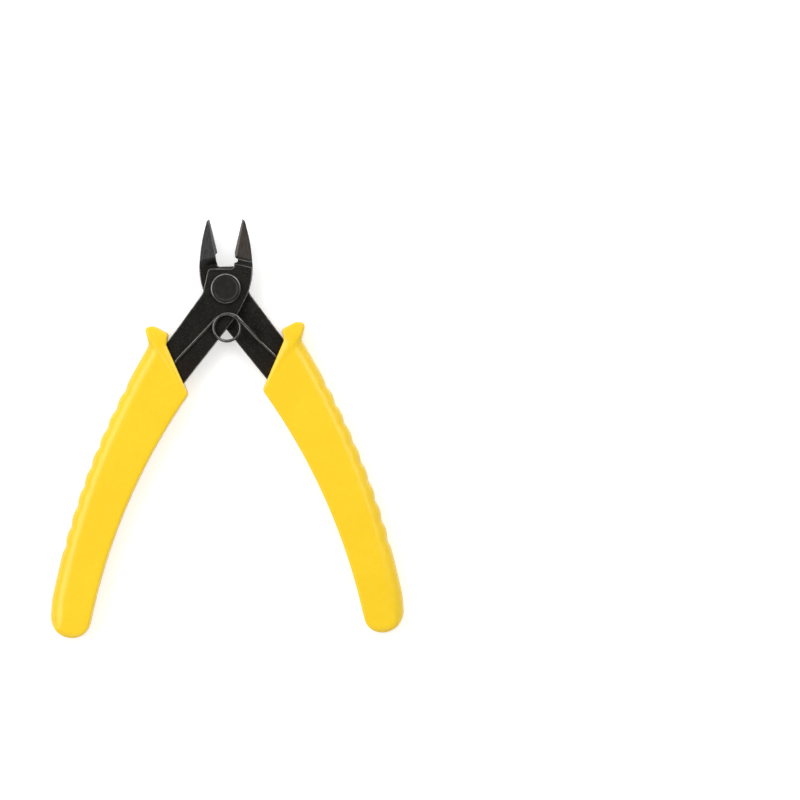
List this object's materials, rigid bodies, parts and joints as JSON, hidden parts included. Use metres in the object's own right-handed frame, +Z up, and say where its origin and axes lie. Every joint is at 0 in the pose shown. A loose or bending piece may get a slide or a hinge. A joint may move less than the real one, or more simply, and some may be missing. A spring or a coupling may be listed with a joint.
{
  "type": "flush cut pliers",
  "caption": "Small flush cutting pliers: two crossed blackened steel halves on a rivet, a coiled wire return spring, and moulded grips with scalloped backs and guard horns.",
  "frame": {"origin": "centre of the open tool's bounding box, on the surface that it lies on", "axes": "+Y along the tool from the grips to the jaws, +Z up out of its front face along the rivet, +X to the right seen from the front"},
  "size_m": [0.1031, 0.1222, 0.0096],
  "materials": {
    "black_steel": "blackened, satin",
    "rivet_steel": "blackened, turned",
    "spring_wire": "blackened drawn wire",
    "grip_plastic": "yellow, semi-gloss"
  },
  "bodies": {
    "pivot": {"pivot_rivet": "rivet_steel", "rivet_washer": "rivet_steel", "return_spring": "spring_wire"},
    "front_half": {"front_blade_arm": "black_steel", "left_grip": "grip_plastic"},
    "rear_half": {"rear_blade_arm": "black_steel", "right_grip": "grip_plastic"}
  },
  "joints": [
    {"name": "front_half_hinge", "type": "hinge", "parent": "pivot", "child": "front_half", "pos_m": [0, 0.04063, 0.0048], "axis": [0, 0, 1], "range_deg": [0, 13.1], "stiffness_Nm_per_rad": 0.8, "springref_deg": -6.88, "deforming": ["return_spring"]},
    {"name": "rear_half_hinge", "type": "hinge", "parent": "pivot", "child": "rear_half", "pos_m": [0, 0.04063, 0.0048], "axis": [0, 0, 1], "range_deg": [-13.1, 0], "stiffness_Nm_per_rad": 0.8, "springref_deg": 6.88, "deforming": ["return_spring"]}
  ],
  "couplings": [
    {"joint": "rear_half_hinge", "follows": "front_half_hinge", "ratio": -1}
  ]
}
